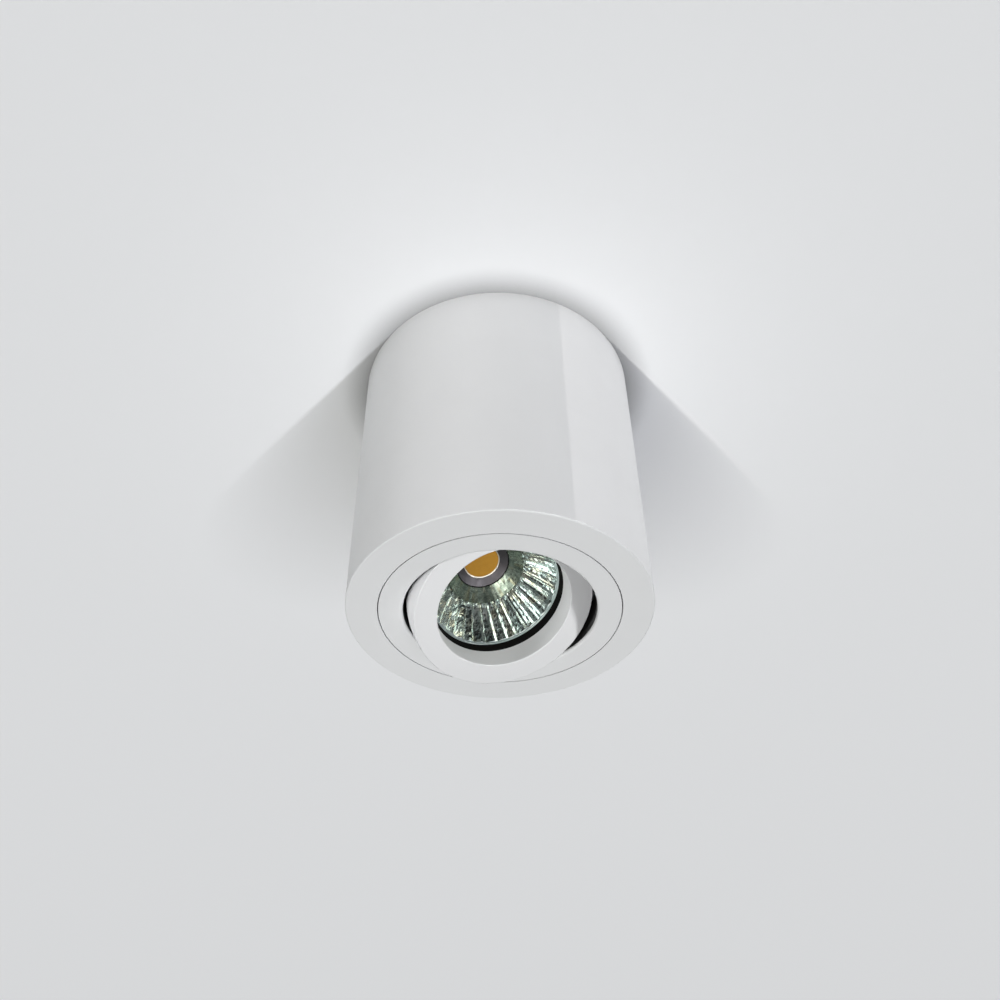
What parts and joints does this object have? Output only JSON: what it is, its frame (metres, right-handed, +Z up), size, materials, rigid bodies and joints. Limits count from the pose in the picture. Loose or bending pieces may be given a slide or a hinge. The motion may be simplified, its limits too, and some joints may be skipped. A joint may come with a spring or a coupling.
{
  "type": "ceiling spotlight",
  "caption": "Round surface mounted ceiling spotlight in white with a flush swivel ring and a tilting lamp ring round a reflector lamp.",
  "frame": {"origin": "centre of the ceiling bracket's upper face, on the ceiling plane", "axes": "+Z up into the ceiling; the light hangs along -Z; +Y points away from the picture's viewer and +X to the viewer's right"},
  "size_m": [0.105, 0.105, 0.1216],
  "materials": {
    "white_powder_coat": "fine matt powder coat on aluminium",
    "zinc_steel": "bright zinc plate",
    "galvanised_steel": "pressed and zinc plated sheet",
    "black_rubber": "moulded, matt",
    "natural_polyamide": "moulded, translucent off-white",
    "brass": "turned",
    "brass_screw": "turned",
    "spring_steel": "rolled strip and wire",
    "black_nylon": "moulded",
    "black_silicone": "moulded, matt black",
    "coated_glass": "pressed glass with a bright facetted coating",
    "yellow_phosphor": "cast silicone",
    "turned_aluminium": "turned",
    "circuit_board": "glass-filled resin",
    "white_pbt": "moulded",
    "nickel_pins": "nickel plated",
    "steatite": "unglazed ceramic",
    "nickel_contacts": "nickel plated"
  },
  "bodies": {
    "housing_body": {"housing": "white_powder_coat", "housing_set_screws": "zinc_steel", "ceiling_bracket": "galvanised_steel", "cable_grommet": "black_rubber", "terminal_block": "natural_polyamide", "terminal_inserts": "brass", "terminal_clamp_screws": "zinc_steel", "terminal_fixing_screws": "zinc_steel", "earth_screw": "brass_screw", "earth_washer": "zinc_steel"},
    "swivel_body": {"swivel_ring": "white_powder_coat", "leaf_springs": "spring_steel", "leaf_spring_screws": "zinc_steel"},
    "tilt_body": {"tilt_ring": "white_powder_coat", "pivot_pins": "zinc_steel", "pivot_bushes": "black_nylon", "lamp_gasket": "black_silicone", "lamp_retaining_clip": "spring_steel", "lamp_reflector": "coated_glass", "led_emitter": "yellow_phosphor", "led_collar": "turned_aluminium", "led_board": "turned_aluminium", "lamp_heat_sink": "turned_aluminium", "lamp_driver_board": "circuit_board", "lamp_base_cap": "white_pbt", "lamp_pins": "nickel_pins"},
    "lampholder": {"lampholder_body": "steatite", "lampholder_cover": "steatite", "lampholder_contacts": "nickel_contacts", "lampholder_rivets": "nickel_contacts"}
  },
  "joints": [
    {"name": "swivel", "type": "hinge", "parent": "housing_body", "child": "swivel_body", "pos_m": [0, 0, -0.107], "axis": [0, 0, 1], "range_deg": [-175, 175]},
    {"name": "tilt", "type": "hinge", "parent": "swivel_body", "child": "tilt_body", "pos_m": [0, 0, -0.1031], "axis": [-0.7389, -0.6738, 0], "range_deg": [-53.4, 6.6]},
    {"name": "lampholder_twist", "type": "hinge", "parent": "tilt_body", "child": "lampholder", "pos_m": [0, 0, -0.1031], "axis": [-0.2676, 0.2935, 0.9178], "range_deg": [0, 15]}
  ]
}
